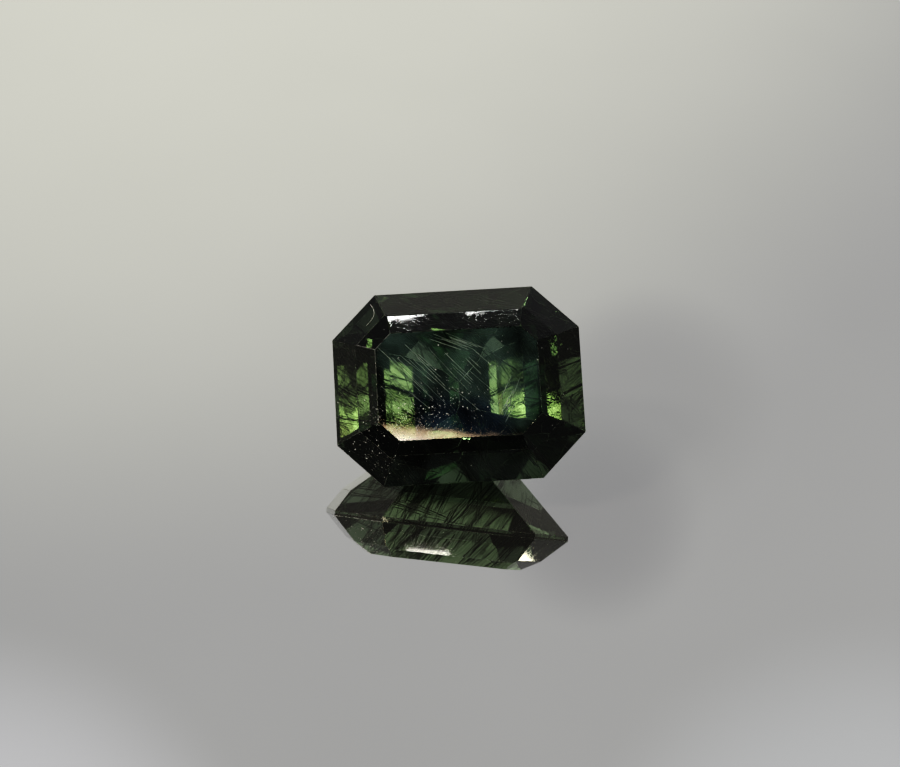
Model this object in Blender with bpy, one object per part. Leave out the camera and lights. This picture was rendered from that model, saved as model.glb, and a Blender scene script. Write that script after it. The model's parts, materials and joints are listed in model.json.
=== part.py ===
"""Peridot gemstone: a step-cut octagon, lying tilted on one facet of its pavilion.

The stone is cut the way a cutter grinds it. A block with the outline's length and width has its
table at the top, and each facet is one flat cut through it. The cuts are described in the stone's
own axes: X along the length, Y across the width, Z out of the table, with Z = 0 at the middle of
the girdle. The finished stone is then turned so that the facet it rests on lies on the ground.
"""

import math

import bmesh
import bpy
from mathutils import Matrix, Vector

# Outline at the girdle, in metres
LENGTH = 0.0120
WIDTH = 0.00936
CORNER_ALONG = 0.00216
CORNER_ACROSS = 0.00211
GIRDLE_THICKNESS = 0.00024

# Table, in metres. It is ground slightly towards the near side.
TABLE_LENGTH = 0.00774
TABLE_WIDTH = 0.00518
TABLE_CORNER = 0.00087
TABLE_SHIFT = -0.00010
CROWN_HEIGHT = 0.00186

# Crown: the outer row of facets has one angle, and the inner row joins it to the table
OUTER_CROWN_ANGLE = 45.0
OUTER_CROWN_STEP = {
    "right": 0.00117,
    "far": 0.00130,
    "left": 0.00115,
    "near": 0.00134,
    "right_far": 0.00120,
    "left_far": 0.00120,
    "left_near": 0.00120,
    "right_near": 0.00120,
}

# Pavilion: rows of facets from the girdle down, as (angle to the girdle plane, depth of the row's
# lower edge). The last row of each side runs on to the keel.
PAVILION_ROWS = {
    "right": ((45.0, 0.0029), (40.0, None)),
    "far": ((64.0, 0.0022), (52.0, 0.0040), (42.0, None)),
    "left": ((58.0, 0.0012), (42.0, 0.0030), (38.0, None)),
    "near": ((70.0, None),),
    "right_far": ((56.0, 0.0019), (45.0, 0.0036), (40.0, None)),
    "left_far": ((58.0, 0.0017), (44.0, 0.0036), (39.0, None)),
    "left_near": ((56.0, 0.0027), (46.0, None)),
    "right_near": ((47.0, 0.0034), (41.0, None)),
}
BLOCK_DEPTH = 0.0090

# The facet the stone rests on: a large flat below the near side, ground a little off its direction
REST_ANGLE = 43.2
REST_TURN = 9.9
REST_DISTANCE = 0.00468

# Bisecting treats points closer to a cut than this as lying on it, in metres
ON_CUT = 1e-8

PERIDOT_COLOUR = (0.045, 0.085, 0.018, 1.0)
PERIDOT_ROUGHNESS = 0.04
PERIDOT_IOR = 1.67


def clear_scene():
    for obj in list(bpy.data.objects):
        bpy.data.objects.remove(obj, do_unlink=True)


def peridot_material():
    """Clear olive-green mineral with a polished surface."""
    material = bpy.data.materials.new("peridot")
    material.use_nodes = True
    shader = material.node_tree.nodes["Principled BSDF"]
    shader.inputs["Base Color"].default_value = PERIDOT_COLOUR
    shader.inputs["Roughness"].default_value = PERIDOT_ROUGHNESS
    shader.inputs["Metallic"].default_value = 0.0
    shader.inputs["IOR"].default_value = PERIDOT_IOR
    shader.inputs["Transmission Weight"].default_value = 1.0
    material.diffuse_color = PERIDOT_COLOUR
    return material


def distance_of_line(first, second):
    """Distance from the axis to the line through two plan points."""
    return abs(first.cross(second)) / (second - first).length


def outline_sides():
    """Each side of the octagon as (azimuth in degrees, girdle's and table's distance from the axis)."""
    half_length, half_width = LENGTH / 2, WIDTH / 2
    table_end = TABLE_LENGTH / 2
    table_far = TABLE_WIDTH / 2 + TABLE_SHIFT
    table_near = TABLE_WIDTH / 2 - TABLE_SHIFT
    corner = math.degrees(math.atan2(CORNER_ALONG, CORNER_ACROSS))
    girdle_corner = distance_of_line(
        Vector((half_length - CORNER_ALONG, half_width)),
        Vector((half_length, half_width - CORNER_ACROSS)),
    )
    table_corner = distance_of_line(
        Vector((table_end - TABLE_CORNER, TABLE_WIDTH / 2)),
        Vector((table_end, TABLE_WIDTH / 2 - TABLE_CORNER)),
    )
    return {
        "right": (0.0, half_length, table_end),
        "far": (90.0, half_width, table_far),
        "left": (180.0, half_length, table_end),
        "near": (270.0, half_width, table_near),
        "right_far": (corner, girdle_corner, table_corner),
        "left_far": (180.0 - corner, girdle_corner, table_corner),
        "left_near": (180.0 + corner, girdle_corner, table_corner),
        "right_near": (-corner, girdle_corner, table_corner),
    }


def facet_normal(azimuth, angle):
    """Outward normal of a facet at an angle to the girdle plane: above 0 on the crown, below on the pavilion."""
    turn, tilt = math.radians(azimuth), math.radians(abs(angle))
    rise = math.copysign(math.cos(tilt), angle)
    return Vector((math.cos(turn) * math.sin(tilt), math.sin(turn) * math.sin(tilt), rise))


def point_at(azimuth, distance, height):
    turn = math.radians(azimuth)
    return Vector((math.cos(turn) * distance, math.sin(turn) * distance, height))


def grind(stone, normal, point):
    """Removes what lies outside the plane and closes the cut with one flat face."""
    geometry = stone.verts[:] + stone.edges[:] + stone.faces[:]
    cut = bmesh.ops.bisect_plane(
        stone, geom=geometry, dist=ON_CUT, plane_co=point, plane_no=normal, clear_outer=True
    )
    rim = [item for item in cut["geom_cut"] if isinstance(item, bmesh.types.BMEdge)]
    bmesh.ops.contextual_create(stone, geom=rim)


def add_block(stone):
    """The block the stone is cut from: its top is the table, and its sides are the four straight sides."""
    bmesh.ops.create_cube(stone, size=1.0)
    height = CROWN_HEIGHT + BLOCK_DEPTH
    bmesh.ops.scale(stone, vec=(LENGTH, WIDTH, height), verts=stone.verts)
    bmesh.ops.translate(stone, vec=(0, 0, CROWN_HEIGHT - height / 2), verts=stone.verts)


def cut_girdle_corners(stone, sides):
    for name, (azimuth, girdle, _) in sides.items():
        if "_" in name:
            grind(stone, facet_normal(azimuth, 90.0), point_at(azimuth, girdle, 0.0))


def cut_crown(stone, sides):
    """Two rows of facets: the outer one starts at the girdle, and the inner one ends at the table."""
    girdle_top = GIRDLE_THICKNESS / 2
    slope = math.tan(math.radians(OUTER_CROWN_ANGLE))
    for name, (azimuth, girdle, table) in sides.items():
        step = girdle - OUTER_CROWN_STEP[name]
        step_height = girdle_top + OUTER_CROWN_STEP[name] * slope
        inner_angle = math.degrees(math.atan2(CROWN_HEIGHT - step_height, step - table))
        grind(stone, facet_normal(azimuth, OUTER_CROWN_ANGLE), point_at(azimuth, girdle, girdle_top))
        grind(stone, facet_normal(azimuth, inner_angle), point_at(azimuth, step, step_height))


def cut_pavilion(stone, sides):
    for name, (azimuth, girdle, _) in sides.items():
        distance, height = girdle, -GIRDLE_THICKNESS / 2
        for angle, row_depth in PAVILION_ROWS[name]:
            grind(stone, facet_normal(azimuth, -angle), point_at(azimuth, distance, height))
            if row_depth is not None:
                distance -= (row_depth + height) / math.tan(math.radians(angle))
                height = -row_depth


def resting_normal():
    """Outward normal of the facet it rests on, turned from the near side's direction towards the left."""
    return facet_normal(270.0 - REST_TURN, -REST_ANGLE)


def resting_pose(mesh):
    """Turns the resting facet down with the length along +X, and centres the stone over the origin."""
    turn_down = resting_normal().rotation_difference(Vector((0, 0, -1))).to_matrix()
    along = turn_down @ Vector((1, 0, 0))
    heading = Matrix.Rotation(-math.atan2(along.y, along.x), 3, "Z")
    turned = heading @ turn_down
    points = [turned @ vertex.co for vertex in mesh.vertices]
    middle = [
        (min(point[axis] for point in points) + max(point[axis] for point in points)) / 2
        for axis in (0, 1)
    ]
    place = Matrix.Translation((-middle[0], -middle[1], REST_DISTANCE))
    return place @ turned.to_4x4()


def make_peridot(collection):
    sides = outline_sides()
    stone = bmesh.new()
    add_block(stone)
    cut_girdle_corners(stone, sides)
    cut_crown(stone, sides)
    cut_pavilion(stone, sides)
    grind(stone, resting_normal(), resting_normal() * REST_DISTANCE)
    bmesh.ops.recalc_face_normals(stone, faces=stone.faces)
    mesh = bpy.data.meshes.new("peridot")
    stone.to_mesh(mesh)
    stone.free()
    mesh.materials.append(peridot_material())
    peridot = bpy.data.objects.new("peridot", mesh)
    collection.objects.link(peridot)
    pose = resting_pose(mesh)
    peridot.location = pose.to_translation()
    peridot.rotation_euler = pose.to_euler()
    return peridot


def main():
    clear_scene()
    collection = bpy.data.collections.new("peridot gemstone")
    bpy.context.scene.collection.children.link(collection)
    make_peridot(collection)


main()
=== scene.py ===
"""Looks of a step-cut peridot that lies tilted on one facet of its pavilion.

The stone is a copy of the CAD solid with worn facet edges, clear and olive green inside. Bundles of dark
needles and a few pale ones cross it, dust and a fibre lie on it, and it rests on a glossy pale floor.
"""

import json
import math

import bmesh
import bpy
import numpy as np
from bpy.props import FloatProperty, FloatVectorProperty, IntProperty, PointerProperty
from mathutils import Matrix, Vector


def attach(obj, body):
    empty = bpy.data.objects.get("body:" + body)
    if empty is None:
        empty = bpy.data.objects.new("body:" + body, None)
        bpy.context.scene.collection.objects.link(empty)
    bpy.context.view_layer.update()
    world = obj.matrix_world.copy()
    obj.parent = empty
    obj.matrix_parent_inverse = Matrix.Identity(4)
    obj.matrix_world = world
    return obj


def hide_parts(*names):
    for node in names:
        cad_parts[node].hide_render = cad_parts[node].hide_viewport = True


bl_info = {
    "name": "Peridot Gemstone",
    "version": (1, 0, 0),
    "blender": (4, 5, 0),
    "location": "View3D > Sidebar > Peridot",
    "description": "Builds a step-cut peridot with needle inclusions, and the stage it is shown on",
    "category": "Add Mesh",
}

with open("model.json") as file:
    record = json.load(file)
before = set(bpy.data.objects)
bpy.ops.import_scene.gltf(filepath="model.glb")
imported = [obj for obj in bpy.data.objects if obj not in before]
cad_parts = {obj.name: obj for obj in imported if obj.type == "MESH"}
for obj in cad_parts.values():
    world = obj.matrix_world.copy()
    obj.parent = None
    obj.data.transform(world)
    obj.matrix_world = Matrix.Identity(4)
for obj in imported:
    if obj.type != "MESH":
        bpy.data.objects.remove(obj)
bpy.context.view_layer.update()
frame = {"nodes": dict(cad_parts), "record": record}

MM = 0.001
UM = 0.000001
STONE_NODE = "peridot"
BODY = "root"
SEED = 20
SHORTEST_NEEDLE = 0.2 * MM
NEEDLE_INSET = 0.05 * MM
PALE_NEEDLE_INSET = 0.01 * MM
LOWEST_DUST = -1.6 * MM
FLOOR_GAP = 20 * UM
LIGHT_BOUNCES = 18
BRIGHTEST_SAMPLE = 12.0


def linear(hex_colour):
    """An sRGB hex colour as linear red, green, blue and alpha."""
    values = [int(hex_colour[i:i + 2], 16) / 255 for i in (1, 3, 5)]
    curve = [v / 12.92 if v <= 0.04045 else ((v + 0.055) / 1.055) ** 2.4 for v in values]
    return (*curve, 1.0)


def table_mount():
    """The record's mount on the table: a point at its centre, and the table's normal."""
    return next(m for m in frame["record"]["mounts"] if m["name"] == "table")


def stone_matrix():
    """The stone's own axes: X along its length, Y across it, Z out of the table, from the table's centre.

    The length has no part along the frame's Y, so X is the table's normal turned a quarter in the X-Z plane.
    """
    up = Vector(table_mount()["axis"]).normalized()
    along = Vector((up.z, 0.0, -up.x)).normalized()
    across = up.cross(along)
    axes = Matrix((along, across, up)).transposed()
    return Matrix.Translation(table_mount()["pos_m"]) @ axes.to_4x4()


STONE = np.array(stone_matrix())


def to_frame(points):
    """Points in the stone's own axes, in metres, moved to the frame."""
    return points @ STONE[:3, :3].T + STONE[:3, 3]


def facet_planes():
    """The stone's facets in its own axes: outward normals, and distances from the table's centre.

    The faces of one facet share a normal, so the first face with each normal stands for its facet.
    """
    mesh = frame["nodes"][STONE_NODE].data
    normals = np.empty(3 * len(mesh.polygons))
    centres = np.empty(3 * len(mesh.polygons))
    mesh.polygons.foreach_get("normal", normals)
    mesh.polygons.foreach_get("center", centres)
    normals, centres = normals.reshape(-1, 3), centres.reshape(-1, 3)
    _, first = np.unique(np.round(normals, 2), axis=0, return_index=True)
    normals, centres = normals[first] @ STONE[:3, :3], (centres[first] - STONE[:3, 3]) @ STONE[:3, :3]
    return normals, (normals * centres).sum(axis=1)


def on_crown(places):
    """The points of the crown and table above places given by X and Y, and the normals there.

    Above a place, each upward facet's plane has a height, and the stone's surface is the lowest of them.
    """
    normals, offsets = facet_planes()
    upward = normals[:, 2] > 0.1
    normals, offsets = normals[upward], offsets[upward]
    heights = (offsets - places @ normals[:, :2].T) / normals[:, 2]
    lowest = heights.argmin(axis=1)
    return np.column_stack((places, heights.min(axis=1))), normals[lowest]


def mesh_object(name, points, faces, material):
    """A mesh object at the origin from points in the frame and a list of faces."""
    mesh = bpy.data.meshes.new(name)
    mesh.from_pydata(points.tolist(), [], faces)
    mesh.materials.append(material)
    mesh.update()
    obj = bpy.data.objects.new(name, mesh)
    bpy.context.scene.collection.objects.link(obj)
    return obj


def tubes(paths, radii):
    """Closed six-sided tubes along paths, each with as many rings as its path has points.

    Each ring is a hexagon square to the line from the path's first point to its last, with its own radius.
    """
    sides = 6
    count, rings = radii.shape
    axis = paths[:, -1] - paths[:, 0]
    axis /= np.linalg.norm(axis, axis=1, keepdims=True)
    helper = np.where(np.abs(axis[:, 2:3]) < 0.9, (0.0, 0.0, 1.0), (1.0, 0.0, 0.0))
    first = np.cross(axis, helper)
    first /= np.linalg.norm(first, axis=1, keepdims=True)
    second = np.cross(axis, first)
    turn = np.arange(sides) * 2 * math.pi / sides
    circle = first[:, None] * np.cos(turn)[:, None] + second[:, None] * np.sin(turn)[:, None]
    points = paths[:, :, None] + circle[:, None] * radii[:, :, None, None]
    tube, ring, side = np.meshgrid(np.arange(count), np.arange(rings - 1), np.arange(sides), indexing="ij")
    base = (tube * rings + ring) * sides
    after = (side + 1) % sides
    quads = np.stack((base + side, base + after, base + sides + after, base + sides + side), axis=-1)
    cap = np.arange(count)[:, None] * rings * sides + np.arange(sides)
    faces = quads.reshape(-1, 4).tolist() + cap[:, ::-1].tolist() + (cap + (rings - 1) * sides).tolist()
    return points.reshape(-1, 3), faces


def needle_tubes(starts, ends, radii):
    """Straight needles: full width along their length, and a fifth of it at both tips."""
    along = np.array((0.0, 0.06, 0.94, 1.0))
    taper = np.array((0.2, 1.0, 1.0, 0.2))
    paths = starts[:, None] + (ends - starts)[:, None] * along[:, None]
    return tubes(to_frame(paths.reshape(-1, 3)).reshape(paths.shape), radii[:, None] * taper)


def clip_to_stone(middles, directions, half_lengths, inset):
    """Cuts straight needles off where they leave the stone, an inset below its facets.

    Along a needle the distance to each facet's plane changes evenly, so the needle leaves through the plane
    whose crossing comes first in each direction. Returns both ends of the needles that stay long enough,
    and a mask of which needles those are.
    """
    normals, offsets = facet_planes()
    slope = directions @ normals.T
    room = offsets - inset - middles @ normals.T
    with np.errstate(divide="ignore", invalid="ignore"):
        crossing = room / slope
    first = np.where(slope < 0, crossing, -np.inf).max(axis=1)
    last = np.where(slope > 0, crossing, np.inf).min(axis=1)
    start = np.maximum(first, -half_lengths)
    end = np.minimum(last, half_lengths)
    kept = (end - start) > SHORTEST_NEEDLE
    return (middles + directions * start[:, None])[kept], (middles + directions * end[:, None])[kept], kept


def scattered_directions(random, mean, spread, count):
    """Unit directions around a mean one, with a normal spread in degrees."""
    noise = random.normal(0.0, math.tan(math.radians(spread)), (count, 3))
    directions = np.array(mean) / np.linalg.norm(mean) + noise
    return directions / np.linalg.norm(directions, axis=1, keepdims=True)


def add_node(tree, kind, inputs=None, links=None, **settings):
    """Adds a node, sets its properties and input values, and links its inputs to other nodes' outputs."""
    node = tree.nodes.new(kind)
    for key, value in settings.items():
        setattr(node, key, value)
    for key, value in (inputs or {}).items():
        node.inputs[key].default_value = value
    for key, output in (links or {}).items():
        tree.links.new(output, node.inputs[key])
    return node


def mix_colours(tree, first, second, factor):
    """A colour between two: each is a hex value or another node's output.

    Inputs 6 and 7 are the node's two colours, and output 2 is their mix.
    """
    node = add_node(tree, "ShaderNodeMix", links={0: factor}, data_type="RGBA")
    for socket, colour in ((6, first), (7, second)):
        if isinstance(colour, str):
            node.inputs[socket].default_value = linear(colour)
        else:
            tree.links.new(colour, node.inputs[socket])
    return node.outputs[2]


def noise(tree, position, scale, detail=2.0):
    """Cloudy noise from 0 to 1 with about scale patches to a metre, so 1000 makes them 1 mm wide."""
    node = add_node(
        tree, "ShaderNodeTexNoise", {"Scale": scale, "Detail": detail}, {"Vector": position}
    )
    return node.outputs["Fac"]


def mapped(tree, value, low, high, new_low, new_high, interpolation="LINEAR"):
    """A value moved from one range to another and held there."""
    node = add_node(
        tree, "ShaderNodeMapRange",
        {"From Min": low, "From Max": high, "To Min": new_low, "To Max": new_high},
        {"Value": value}, interpolation_type=interpolation,
    )
    return node.outputs["Result"]


def math_node(tree, operation, first, second=0.0, third=0.0):
    """A math node's output: each input is a number or another node's output."""
    node = add_node(tree, "ShaderNodeMath", operation=operation)
    for socket, value in enumerate((first, second, third)):
        if isinstance(value, float):
            node.inputs[socket].default_value = value
        else:
            tree.links.new(value, node.inputs[socket])
    return node.outputs["Value"]


def new_material(name):
    """An empty material with its node tree, its output node and the object's own coordinates."""
    material = bpy.data.materials.new(name)
    material.use_nodes = True
    tree = material.node_tree
    tree.nodes.clear()
    output = add_node(tree, "ShaderNodeOutputMaterial")
    position = add_node(tree, "ShaderNodeTexCoord").outputs["Object"]
    return material, tree, output, position


class StoneSettings(bpy.types.PropertyGroup):
    edge_wear: FloatProperty(
        name="Edge wear", description="Width of the worn band along each facet edge",
        default=0.016 * MM, unit="LENGTH",
    )
    passing_colour: FloatVectorProperty(
        name="Passing colour", description="Colour that the stone lets through",
        default=linear("#ACBBA8")[:3], subtype="COLOR", size=3, min=0.0, max=1.0,
    )
    density: FloatProperty(
        name="Absorption density", description="How fast light is lost inside the stone, per metre",
        default=400.0,
    )
    ior: FloatProperty(name="Refraction index", description="Mean refraction index of peridot", default=1.67)
    waviness: FloatProperty(
        name="Waviness", description="Height of the slow waves that the lap left on the facets",
        default=1.2 * UM, unit="LENGTH",
    )


class NeedleSettings(bpy.types.PropertyGroup):
    coarse_bundles: IntProperty(
        name="Coarse bundles", description="Bundles of thick needles that run down from the table",
        default=34,
    )
    fine_bundles: IntProperty(
        name="Fine bundles", description="Wispy bundles that run down from the table", default=95,
    )
    crown_bundles: IntProperty(
        name="Crown bundles", description="Short bundles close below the crown", default=42,
    )
    level_bundles: IntProperty(
        name="Level bundles", description="Bundles of needles that run along the stone", default=20,
    )
    thinnest: FloatProperty(
        name="Thinnest", description="Smallest needle diameter", default=7 * UM, unit="LENGTH",
    )
    fine_thickest: FloatProperty(
        name="Thickest fine", description="Largest diameter in a fine bundle", default=30 * UM, unit="LENGTH",
    )
    coarse_thickest: FloatProperty(
        name="Thickest coarse", description="Largest diameter in a coarse bundle",
        default=78 * UM, unit="LENGTH",
    )


class PaleNeedleSettings(bpy.types.PropertyGroup):
    depth: FloatProperty(
        name="Depth", description="Greatest depth of the pale needles below the table",
        default=0.25 * MM, unit="LENGTH",
    )
    diameter: FloatProperty(
        name="Diameter", description="Largest diameter of the pale needles", default=28 * UM, unit="LENGTH",
    )


class DustSettings(bpy.types.PropertyGroup):
    smallest: FloatProperty(
        name="Smallest speck", description="Size of the smallest specks", default=20 * UM, unit="LENGTH",
    )
    largest: FloatProperty(
        name="Largest speck", description="Size of the largest specks", default=68 * UM, unit="LENGTH",
    )
    fibre_diameter: FloatProperty(
        name="Fibre diameter", description="Diameter of the fibre on the crown",
        default=18 * UM, unit="LENGTH",
    )


class StageSettings(bpy.types.PropertyGroup):
    floor_radius: FloatProperty(
        name="Floor radius", description="Radius of the floor", default=0.8, unit="LENGTH",
    )
    camera_elevation: FloatProperty(
        name="Camera elevation", description="Angle of the view above the horizon",
        default=math.radians(39.86), subtype="ANGLE",
    )
    camera_turn: FloatProperty(
        name="Camera turn", description="Direction of the view, from the frame's Y towards X",
        default=math.radians(5.3), subtype="ANGLE",
    )
    camera_roll: FloatProperty(
        name="Camera roll", description="How far the camera is turned about its own view",
        default=math.radians(5.33), subtype="ANGLE",
    )
    camera_distance: FloatProperty(
        name="Camera distance", description="Distance from the camera to the stone, along the view",
        default=84.0 * MM, unit="LENGTH",
    )
    camera_lens: FloatProperty(name="Camera lens", description="Focal length in millimetres", default=69.3)


def peridot_material(settings):
    """Peridot, cut and polished: clear olive green with a glassy gloss.

    Slow waves from the lap bend the reflections a little, and the worn edges are frosted, so they catch
    the light as thin pale lines. The green comes from what is absorbed along the way through the stone.
    """
    material, tree, output, position = new_material("polished_peridot")
    # Tint patches are about 4 mm wide, chips along the edges 0.4 mm and the slow waves 1.3 mm. Real marks
    # of polish are far finer than the 0.1 mm here, which is drawn coarser so that it shows.
    tint = mix_colours(tree, "#FFFFFF", "#F0F8E4", noise(tree, position, 260.0))
    wear = add_node(tree, "ShaderNodeAttribute", attribute_name="edge_wear").outputs["Fac"]
    chipped = mapped(tree, noise(tree, position, 2600.0, 3.0), 0.35, 0.65, 0.05, 0.55)
    frosted = math_node(tree, "MULTIPLY", wear, chipped)
    polish = mapped(tree, noise(tree, position, 9000.0, 4.0), 0.5, 0.75, 0.015, 0.06)
    roughness = math_node(tree, "MAXIMUM", polish, frosted)
    waves = add_node(
        tree, "ShaderNodeBump", {"Strength": 1.0, "Distance": settings.waviness},
        {"Height": noise(tree, position, 750.0, 1.0)},
    )
    shader = add_node(
        tree, "ShaderNodeBsdfPrincipled", {"IOR": settings.ior, "Transmission Weight": 1.0},
        {"Base Color": tint, "Roughness": roughness, "Normal": waves.outputs["Normal"]},
    )
    absorption = add_node(tree, "ShaderNodeVolumeAbsorption", {
        "Color": (*settings.passing_colour, 1.0), "Density": settings.density,
    })
    tree.links.new(shader.outputs["BSDF"], output.inputs["Surface"])
    tree.links.new(absorption.outputs["Volume"], output.inputs["Volume"])
    return material


def dark_needle_material():
    """Ludwigite needles: opaque, brown-black, with a silky gloss that varies along them."""
    material, tree, output, position = new_material("ludwigite_needles")
    colour = mix_colours(tree, "#0C0D09", "#241E12", noise(tree, position, 1500.0))
    shader = add_node(
        tree, "ShaderNodeBsdfPrincipled", {"Roughness": 0.35}, {"Base Color": colour},
    )
    tree.links.new(shader.outputs["BSDF"], output.inputs["Surface"])
    return material


def pale_needle_material():
    """Hollow or healed needles: pale grey-green with a silky gloss, brighter in places."""
    material, tree, output, position = new_material("pale_healed_needles")
    colour = mix_colours(tree, "#A8B4AC", "#FFFFFF", noise(tree, position, 1400.0))
    shader = add_node(
        tree, "ShaderNodeBsdfPrincipled", {"Roughness": 0.3}, {"Base Color": colour},
    )
    tree.links.new(shader.outputs["BSDF"], output.inputs["Surface"])
    return material


def dust_material():
    """Dust: matt pale grey specks, some of them browner."""
    material, tree, output, position = new_material("pale_dust")
    colour = mix_colours(tree, "#B4B2AC", "#FFFFFF", noise(tree, position, 4000.0))
    shader = add_node(
        tree, "ShaderNodeBsdfPrincipled", {"Roughness": 0.8}, {"Base Color": colour},
    )
    tree.links.new(shader.outputs["BSDF"], output.inputs["Surface"])
    return material


def floor_material():
    """Glossy pale board: a mirror-like face with a faint milky haze under it."""
    material, tree, output, position = new_material("glossy_pale_board")
    colour = mix_colours(tree, "#E6E6E4", "#EDEDEB", noise(tree, position, 60.0))
    roughness = mapped(tree, noise(tree, position, 400.0), 0.3, 0.7, 0.01, 0.03)
    shader = add_node(
        tree, "ShaderNodeBsdfPrincipled", {"Metallic": 0.96}, {"Base Color": colour, "Roughness": roughness},
    )
    tree.links.new(shader.outputs["BSDF"], output.inputs["Surface"])
    return material


def wear_edges(shape, width):
    """Rounds every edge of the stone and marks the new narrow faces in the face attribute edge_wear."""
    wear = shape.faces.layers.float.new("edge_wear")
    facets = set(bmesh.ops.bevel(
        shape, geom=shape.verts[:] + shape.edges[:], offset=width, offset_type="OFFSET",
        segments=2, profile=0.5, affect="EDGES", clamp_overlap=True,
    )["faces"])
    for face in facets:
        face[wear] = 1.0


class PERIDOT_OT_stone(bpy.types.Operator):
    """Makes the cut stone from the CAD solid, with its facet edges slightly worn"""

    bl_idname = "peridot.stone"
    bl_label = "Cut Stone"

    def execute(self, context):
        settings = context.scene.peridot_stone
        mesh = frame["nodes"][STONE_NODE].data.copy()
        shape = bmesh.new()
        shape.from_mesh(mesh)
        bmesh.ops.remove_doubles(shape, verts=shape.verts, dist=1 * UM)
        bmesh.ops.dissolve_limit(
            shape, angle_limit=math.radians(0.5), verts=shape.verts, edges=shape.edges
        )
        wear_edges(shape, settings.edge_wear)
        shape.to_mesh(mesh)
        shape.free()
        if "custom_normal" in mesh.attributes:
            mesh.attributes.remove(mesh.attributes["custom_normal"])
        mesh.shade_flat()
        mesh.materials.clear()
        mesh.materials.append(peridot_material(settings))
        stone = bpy.data.objects.new("peridot_stone", mesh)
        context.scene.collection.objects.link(stone)
        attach(stone, BODY)
        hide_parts(STONE_NODE)
        return {"FINISHED"}


class PERIDOT_OT_needles(bpy.types.Operator):
    """Grows bundles of dark needles inside the stone, in two main directions"""

    bl_idname = "peridot.needles"
    bl_label = "Dark Needles"

    def execute(self, context):
        settings = context.scene.peridot_needles
        random = np.random.default_rng(SEED)
        steep, level = (0.42, -0.40, -0.82), (0.88, -0.40, 0.15)
        # mean direction, spread in degrees, bundles, needles in a bundle, depths in mm, bundle's spread
        # in mm, spread of directions in a bundle, largest diameter
        families = (
            (steep, 5.0, settings.coarse_bundles, 5, (-8.0, 0.0), 0.10, 0.02, settings.coarse_thickest),
            (steep, 9.0, settings.fine_bundles, 14, (-8.0, 0.0), 0.12, 0.05, settings.fine_thickest),
            (steep, 8.0, settings.crown_bundles, 9, (-3.6, -1.0), 0.08, 0.05, settings.fine_thickest),
            (level, 8.0, settings.level_bundles, 4, (-8.0, 0.0), 0.12, 0.03, settings.coarse_thickest),
        )
        stone_half_length, stone_half_width = 6.0, 4.7
        middles, directions, half_lengths, thickest = [], [], [], []
        for mean, spread, bundles, in_bundle, depths, width, fan, diameter in families:
            low_corner = (-stone_half_length, -stone_half_width, depths[0])
            high_corner = (stone_half_length, stone_half_width, depths[1])
            centres = random.uniform(low_corner, high_corner, (bundles, 3)) * MM
            lines = scattered_directions(random, mean, spread, bundles)
            # Half lengths: 0.6 to 3 mm for a bundle, and 0.3 to 1 of its bundle's for each needle
            lengths = random.uniform(0.6, 3.0, bundles) * MM
            count = bundles * in_bundle
            middles.append(np.repeat(centres, in_bundle, axis=0) + random.normal(0.0, width * MM, (count, 3)))
            line = np.repeat(lines, in_bundle, axis=0) + random.normal(0.0, fan, (count, 3))
            directions.append(line / np.linalg.norm(line, axis=1, keepdims=True))
            half_lengths.append(np.repeat(lengths, in_bundle) * random.uniform(0.3, 1.0, count))
            thickest.append(np.full(count, diameter))
        middles, directions, half_lengths, thickest = map(
            np.concatenate, (middles, directions, half_lengths, thickest)
        )
        starts, ends, kept = clip_to_stone(middles, directions, half_lengths, NEEDLE_INSET)
        # The third power leaves most needles near the thinnest
        spare = thickest[kept] - settings.thinnest
        radii = (settings.thinnest + spare * random.random(len(starts)) ** 3) / 2
        points, faces = needle_tubes(starts, ends, radii)
        needles = mesh_object("dark_needles", points, faces, dark_needle_material())
        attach(needles, BODY)
        return {"FINISHED"}


class PERIDOT_OT_pale_needles(bpy.types.Operator):
    """Grows the few pale needles just below the table"""

    bl_idname = "peridot.pale_needles"
    bl_label = "Pale Needles"

    def execute(self, context):
        settings = context.scene.peridot_pale_needles
        random = np.random.default_rng(SEED + 1)
        # centre and spread in mm, direction in degrees below the length, half length in mm, count
        groups = (
            ((-1.7, 0.3), (0.75, 0.55), 46.0, 1.3, 16),
            ((0.9, 0.4), (0.5, 0.4), 47.0, 1.0, 8),
            ((0.0, 2.0), (0.5, 0.12), 24.0, 1.0, 12),
            ((2.4, -0.6), (0.4, 0.6), 118.0, 0.8, 6),
        )
        middles, directions, half_lengths = [], [], []
        for centre, spread, angle, length, count in groups:
            place = random.normal(centre, spread, (count, 2)) * MM
            depth = -random.uniform(0.1, 1.0, count) * settings.depth
            middles.append(np.column_stack((place, depth)))
            turn = np.radians(-angle + random.normal(0.0, 2.5, count))
            dip = random.uniform(-0.05, 0.01, count)
            directions.append(np.column_stack((np.cos(turn), np.sin(turn), dip)))
            half_lengths.append(random.uniform(0.4, 1.0, count) * length * MM)
        middles, directions, half_lengths = map(np.concatenate, (middles, directions, half_lengths))
        directions /= np.linalg.norm(directions, axis=1, keepdims=True)
        starts, ends, _ = clip_to_stone(middles, directions, half_lengths, PALE_NEEDLE_INSET)
        radii = settings.diameter / 2 * random.uniform(0.4, 1.0, len(starts))
        points, faces = needle_tubes(starts, ends, radii)
        needles = mesh_object("pale_needles", points, faces, pale_needle_material())
        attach(needles, BODY)
        return {"FINISHED"}


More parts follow.
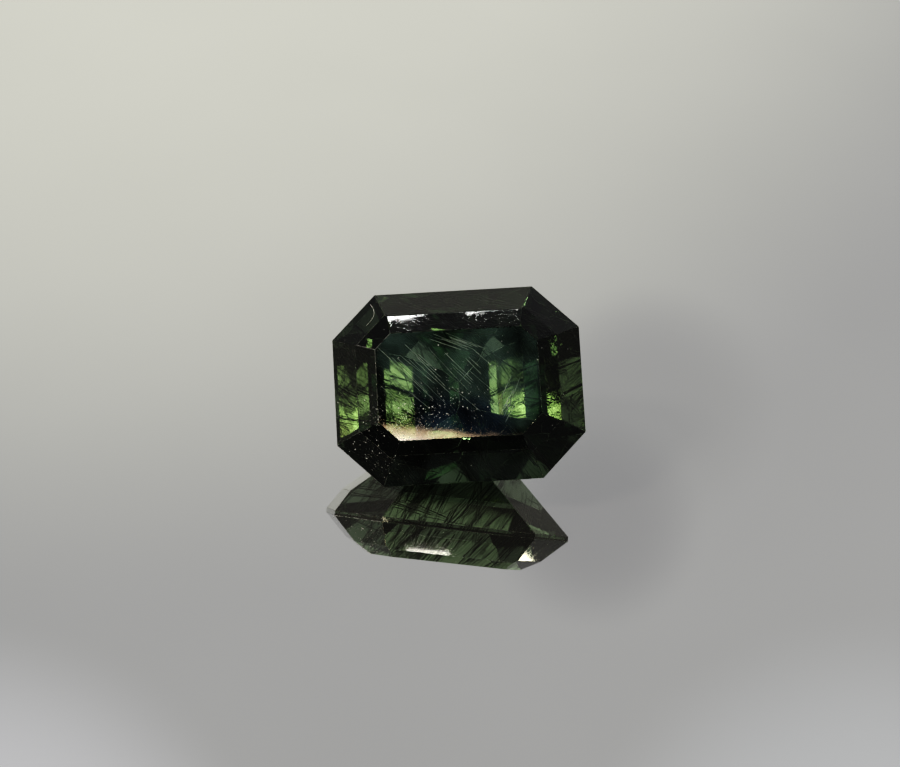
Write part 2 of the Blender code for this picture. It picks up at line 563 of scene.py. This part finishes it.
def speck_shapes(random, centres, normals, sizes):
    """Angular specks: each an icosahedron with uneven corners, pressed flatter towards the facet under it."""
    golden = (1 + math.sqrt(5)) / 2
    corners = np.array([
        (-1, golden, 0), (1, golden, 0), (-1, -golden, 0), (1, -golden, 0),
        (0, -1, golden), (0, 1, golden), (0, -1, -golden), (0, 1, -golden),
        (golden, 0, -1), (golden, 0, 1), (-golden, 0, -1), (-golden, 0, 1),
    ]) / math.hypot(1, golden)
    faces = np.array([
        (0, 11, 5), (0, 5, 1), (0, 1, 7), (0, 7, 10), (0, 10, 11), (1, 5, 9), (5, 11, 4),
        (11, 10, 2), (10, 7, 6), (7, 1, 8), (3, 9, 4), (3, 4, 2), (3, 2, 6), (3, 6, 8),
        (3, 8, 9), (4, 9, 5), (2, 4, 11), (6, 2, 10), (8, 6, 7), (9, 8, 1),
    ])
    count, corner_count = len(centres), len(corners)
    # A corner is 0.55 to 1.15 of the radius out, and a speck 0.6 to 1.4 of its size along each axis
    shape = corners[None] * random.uniform(0.55, 1.15, (count, corner_count, 1)) * sizes[:, None, None] / 2
    shape *= random.uniform(0.6, 1.4, (count, 1, 3))
    along = (shape * normals[:, None]).sum(axis=2, keepdims=True)
    shape -= 0.5 * along * normals[:, None]
    points = centres[:, None] + normals[:, None] * (0.2 * sizes)[:, None, None] + shape
    all_faces = faces[None] + corner_count * np.arange(count)[:, None, None]
    return points.reshape(-1, 3), all_faces.reshape(-1, 3).tolist()


class PERIDOT_OT_dust(bpy.types.Operator):
    """Scatters dust specks on the crown and lays a short curved fibre near its far left corner"""

    bl_idname = "peridot.dust"
    bl_label = "Dust and Fibre"

    def execute(self, context):
        settings = context.scene.peridot_dust
        random = np.random.default_rng(SEED + 2)
        # centre and spread in mm, count
        clusters = (
            ((-1.5, -1.3), (1.4, 0.6), 340),
            ((-4.5, -2.4), (0.5, 0.8), 50),
            ((-3.9, -3.4), (0.5, 0.5), 40),
            ((-4.1, -1.4), (0.3, 0.8), 60),
            ((0.0, 0.0), (3.2, 2.4), 90),
        )
        places = [random.normal(centre, spread, (count, 2)) for centre, spread, count in clusters]
        points, normals = on_crown(np.concatenate(places) * MM)
        kept = points[:, 2] > LOWEST_DUST
        points, normals = points[kept], normals[kept]
        # The third power leaves most specks near the smallest
        sizes = settings.smallest + (settings.largest - settings.smallest) * random.random(len(points)) ** 3
        points, faces = speck_shapes(random, points, normals, sizes)
        dust = mesh_object("dust_specks", to_frame(points), faces, dust_material())
        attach(dust, BODY)

        rings = 16
        along = np.linspace(0.0, 1.0, rings)
        # X and Y in mm: the fibre bows to the right along a sine, and its near end turns off to the left
        bend = np.column_stack((
            -4.05 + 0.22 * np.sin(3.0 * along) - 0.25 * along ** 3, 4.3 - 1.15 * along,
        ))
        path, normals = on_crown(bend * MM)
        path += normals * settings.fibre_diameter * 0.7
        radii = np.full((1, rings), settings.fibre_diameter / 2)
        points, faces = tubes(to_frame(path)[None], radii)
        fibre = mesh_object("fine_fibre", points, faces, dust_material())
        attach(fibre, BODY)
        return {"FINISHED"}


def make_floor(settings):
    """Flat disc: points at even angles on a circle of the floor's radius, just below the stone."""
    corners = 96
    turn = np.arange(corners) * 2 * math.pi / corners
    rim = np.stack((np.cos(turn), np.sin(turn), np.zeros_like(turn)), axis=-1) * settings.floor_radius
    rim[:, 2] = -FLOOR_GAP
    floor = mesh_object("floor", rim, [list(range(corners))], floor_material())


def toward(azimuth, elevation):
    """Unit direction from an azimuth, counted from X towards Y, and an elevation, both in degrees."""
    turn, rise = math.radians(azimuth), math.radians(elevation)
    return (math.cos(turn) * math.cos(rise), math.sin(turn) * math.cos(rise), math.sin(rise))


# Soft zones of the room, painted over each other in this order: azimuth and elevation of the middle,
# angles from the middle where the zone is full and where it ends, all in degrees, then colour. The two
# dim patches are painted shadow: the floor mirrors them as the soft darker patches to the right of the
# stone, where they stand in for most of its cast shadow. The lamps cast only a faint real shadow there.
ROOM_ZONES = (
    ("Pale wall behind", (88.0, 42.0), (30.0, 62.0), "#B0B0B1"),
    ("Brighter lower wall behind", (98.0, 12.0), (14.0, 36.0), "#E3E3DA"),
    ("Bluish ceiling at the left", (110.0, 57.0), (4.0, 10.5), "#D0D0D4"),
    ("Bluish ceiling at the right", (58.0, 54.0), (4.0, 11.0), "#C6C7CA"),
    # Painted shadow: dim zones whose mirror image in the floor darkens it right of the stone, as the stone's
    # shadow
    ("Painted shadow right of the stone", (76.0, 39.8), (0.8, 4.4), "#AAAAAB"),
    ("Lower painted shadow right of the stone", (77.6, 43.7), (0.6, 3.8), "#A0A0A2"),
    ("Dim side behind the camera", (-90.0, 30.0), (50.0, 85.0), "#868886"),
    ("Dim ceiling in front", (-90.0, 55.0), (24.0, 40.0), "#1A2024"),
    ("Dim wall in front", (-90.0, 14.0), (12.0, 32.0), "#565857"),
    ("Pale wall at the left", (-176.0, 8.0), (14.0, 32.0), "#B4B4AD"),
    ("Dim corner at the left in front", (-144.0, 9.0), (8.0, 18.0), "#5A5C5B"),
)

# Lit panels and lamps: azimuth and elevation of the middle, half width and half height, softness of the
# side and upper edges, slope of the upper edge, all in degrees, then colour and strength. The panels are
# patchy, as a lit wall with folds is, and the lamps are even.
ROOM_PANELS = (
    ("Grey-green panel in front", (-99.5, 54.2), (4.0, 1.5), (1.5, 0.6), 0.0, "#9CB4A8", 1.3),
    ("Bluish panel in front", (-99.0, 52.4), (2.0, 0.5), (1.5, 0.7), 0.0, "#8CA8C4", 0.8),
    ("Dim upper panel", (-78.0, 56.5), (9.0, 4.0), (3.0, 3.0), 0.0, "#DFF0E8", 1.0),
    ("Right front panel", (-38.0, 45.0), (10.0, 6.0), (4.0, 3.0), 0.0, "#E8F4E8", 2.0),
    ("Left part of the high panel", (-109.4, 52.2), (1.6, 1.2), (0.4, 0.4), 0.0, "#FFEEDA", 1.4),
    ("Right part of the high panel", (-105.1, 52.5), (0.7, 1.3), (0.3, 0.4), 0.0, "#FFEEDA", 7.0),
    ("Upper warm panel", (-89.4, 53.9), (1.8, 1.0), (0.6, 0.4), 0.0, "#FFEEDA", 1.5),
    ("Right part of the upper panel", (-86.4, 54.8), (1.0, 0.8), (0.5, 0.4), 0.0, "#FFEEDA", 9.0),
    ("Grey panel in front", (-84.5, 38.2), (5.0, 1.8), (2.0, 1.0), 0.0, "#A8B4AC", 0.6),
)
ROOM_LAMPS = (
    ("Warm panel in front", (-110.5, 49.6), (10.5, 1.9), (5.5, 0.25), 0.04, "#FFE0BC", 8.0),
    ("Bright part of the panel", (-101.2, 50.6), (0.7, 0.9), (0.9, 0.4), 0.0, "#FFF4E4", 16.0),
    ("Bright left end of the panel", (-116.2, 50.6), (2.6, 1.2), (2.0, 0.6), 0.0, "#FFF0DC", 11.0),
    ("Bright spot left of the middle", (-105.7, 51.6), (0.4, 0.35), (0.4, 0.3), 0.0, "#FFF6C8", 26.0),
    ("Bright spot right of the middle", (-88.4, 53.5), (0.5, 0.4), (0.4, 0.3), 0.0, "#FFF6C8", 24.0),
    ("Small lamp in front", (-85.1, 50.45), (0.9, 0.56), (0.3, 0.12), 0.0, "#FFFAF0", 30.0),
    ("Low front lamp", (-87.0, 24.0), (1.4, 1.0), (0.8, 0.8), 0.0, "#FFF6D8", 16.0),
    ("Lamp beside the middle", (-77.5, 39.6), (1.6, 1.2), (0.8, 0.8), 0.0, "#FFF6D8", 14.0),
    ("Left lamp", (-172.0, 42.0), (4.5, 4.0), (1.0, 1.0), 0.0, "#FFF8EC", 120.0),
    ("Left front lamp", (-158.0, 29.5), (4.0, 4.0), (1.0, 1.0), 0.0, "#FFF8EC", 9.0),
    ("Far lamp", (113.2, 68.42), (1.9, 0.64), (0.3, 0.08), -0.1, "#FFFFFF", 30.0),
    ("Second far lamp", (104.9, 69.21), (2.5, 0.8), (0.3, 0.06), -0.095, "#FFFFFF", 20.0),
    ("Right lamp", (7.5, 62.7), (3.0, 0.75), (0.5, 0.1), 0.0, "#FFF8DC", 12.0),
    ("Bright far horizon", (85.0, 2.0), (22.0, 4.0), (14.0, 7.0), 0.0, "#FFFFF6", 1.6),
)


def lamp_mask(tree, azimuth, elevation, middle, half_size, softness, slope):
    """1 inside a lamp's rectangle of azimuth and elevation and 0 outside, with soft edges."""
    across = math_node(tree, "SUBTRACT", azimuth, middle[0])
    rise = math_node(tree, "SUBTRACT", elevation, middle[1])
    rise = math_node(tree, "MULTIPLY_ADD", across, -slope, rise)
    inside = []
    for offset, half, soft in ((across, half_size[0], softness[0]), (rise, half_size[1], softness[1])):
        distance = math_node(tree, "ABSOLUTE", offset)
        inside.append(mapped(tree, distance, half + soft, half, 0.0, 1.0, "SMOOTHSTEP"))
    return math_node(tree, "MULTIPLY", *inside)


def make_world():
    """Soft room light: a grey gradient with dim and pale zones, two of them painted shadow, lit panels and
    lamps.
    """
    world = bpy.data.worlds.new("soft_room")
    world.use_nodes = True
    tree = world.node_tree
    tree.nodes.clear()
    direction = add_node(tree, "ShaderNodeTexCoord").outputs["Generated"]
    axes = add_node(tree, "ShaderNodeSeparateXYZ", links={0: direction}).outputs
    height = axes["Z"]
    upward = mapped(tree, height, 0.40, 0.85, 0.0, 1.0, "SMOOTHSTEP")
    colour = mix_colours(tree, "#94948F", "#6C6E70", upward)
    for name, middle, angles, zone_colour in ROOM_ZONES:
        closeness = add_node(
            tree, "ShaderNodeVectorMath", {1: toward(*middle)}, {0: direction},
            operation="DOT_PRODUCT", label=name,
        ).outputs["Value"]
        inner, outer = (math.cos(math.radians(angle)) for angle in angles)
        inside = mapped(tree, closeness, outer, inner, 0.0, 1.0, "SMOOTHSTEP")
        colour = mix_colours(tree, colour, zone_colour, inside)
    elevation = math_node(tree, "DEGREES", math_node(tree, "ARCSINE", height))
    azimuth = math_node(tree, "DEGREES", math_node(tree, "ARCTAN2", axes["Y"], axes["X"]))
    patches = mapped(tree, noise(tree, direction, 45.0, 3.0), 0.36, 0.66, 0.2, 1.9)
    for lamps, evenness in ((ROOM_PANELS, patches), (ROOM_LAMPS, 1.0)):
        for name, middle, half_size, softness, slope, lamp_colour, strength in lamps:
            inside = lamp_mask(tree, azimuth, elevation, middle, half_size, softness, slope)
            glow = add_node(
                tree, "ShaderNodeVectorMath", {0: linear(lamp_colour)[:3]},
                {"Scale": math_node(tree, "MULTIPLY", evenness, strength)}, operation="SCALE", label=name,
            ).outputs["Vector"]
            colour = mix_colours(tree, colour, glow, inside)
    background = add_node(tree, "ShaderNodeBackground", links={"Color": colour})
    add_node(tree, "ShaderNodeOutputWorld", links={"Surface": background.outputs["Background"]})
    bpy.context.scene.world = world


def make_camera(settings):
    """Looks at the stone from the photograph's direction, with the stone a little right of the middle.

    The camera is aimed at a point inside the stone, then moved left and up across its view.
    """
    turn, rise = settings.camera_turn, settings.camera_elevation
    forward = Vector((math.sin(turn) * math.cos(rise), math.cos(turn) * math.cos(rise), -math.sin(rise)))
    level = Vector((math.cos(turn), -math.sin(turn), 0.0))
    above = level.cross(forward)
    right = level * math.cos(settings.camera_roll) + above * math.sin(settings.camera_roll)
    up = above * math.cos(settings.camera_roll) - level * math.sin(settings.camera_roll)
    aim, moved_left, moved_up = (0.0, 0.1, -1.86), 0.41, 0.13
    centre = Vector(to_frame(np.array(aim) * MM))
    place = centre - forward * settings.camera_distance - right * moved_left * MM + up * moved_up * MM
    data = bpy.data.cameras.new("camera")
    data.lens = settings.camera_lens
    data.sensor_width = 36.0
    data.clip_start = 0.001
    data.clip_end = 10.0
    camera = bpy.data.objects.new("camera", data)
    camera.matrix_world = Matrix.Translation(place) @ Matrix((right, up, -forward)).transposed().to_4x4()
    bpy.context.scene.collection.objects.link(camera)
    bpy.context.scene.camera = camera


def set_tone(view):
    """A camera's contrast: shadows a little deeper, the middle tones and the highlights kept."""
    combined = 3
    view.view_transform = "Standard"
    view.use_curve_mapping = True
    curve = view.curve_mapping.curves[combined]
    for level, shown in ((0.05, 0.014), (0.12, 0.068), (0.35, 0.340)):
        curve.points.new(level, shown)
    view.curve_mapping.update()


class PERIDOT_OT_stage(bpy.types.Operator):
    """Sets the floor, the soft light and the camera"""

    bl_idname = "peridot.stage"
    bl_label = "Stage"

    def execute(self, context):
        settings = context.scene.peridot_stage
        make_floor(settings)
        make_world()
        make_camera(settings)
        set_tone(context.scene.view_settings)
        cycles = context.scene.cycles
        cycles.max_bounces = LIGHT_BOUNCES
        cycles.transmission_bounces = LIGHT_BOUNCES
        cycles.glossy_bounces = LIGHT_BOUNCES
        cycles.sample_clamp_indirect = BRIGHTEST_SAMPLE
        cycles.use_denoising = True
        return {"FINISHED"}


class PERIDOT_PT_parts(bpy.types.Panel):
    """Lists the stone's pieces and its stage"""

    bl_label = "Peridot"
    bl_space_type = "VIEW_3D"
    bl_region_type = "UI"
    bl_category = "Peridot"

    def draw(self, context):
        for operator in OPERATORS:
            self.layout.operator(operator.bl_idname)


OPERATORS = (
    PERIDOT_OT_stone, PERIDOT_OT_needles, PERIDOT_OT_pale_needles, PERIDOT_OT_dust, PERIDOT_OT_stage,
)
SETTINGS = {
    "peridot_stone": StoneSettings,
    "peridot_needles": NeedleSettings,
    "peridot_pale_needles": PaleNeedleSettings,
    "peridot_dust": DustSettings,
    "peridot_stage": StageSettings,
}


def register():
    for group in (*SETTINGS.values(), *OPERATORS, PERIDOT_PT_parts):
        bpy.utils.register_class(group)
    for name, group in SETTINGS.items():
        setattr(bpy.types.Scene, name, PointerProperty(type=group))


def unregister():
    for name in SETTINGS:
        delattr(bpy.types.Scene, name)
    for group in reversed((*SETTINGS.values(), *OPERATORS, PERIDOT_PT_parts)):
        bpy.utils.unregister_class(group)


def main():
    register()
    bpy.ops.peridot.stone()
    bpy.ops.peridot.needles()
    bpy.ops.peridot.pale_needles()
    bpy.ops.peridot.dust()
    bpy.ops.peridot.stage()


if __name__ == "__main__":
    main()
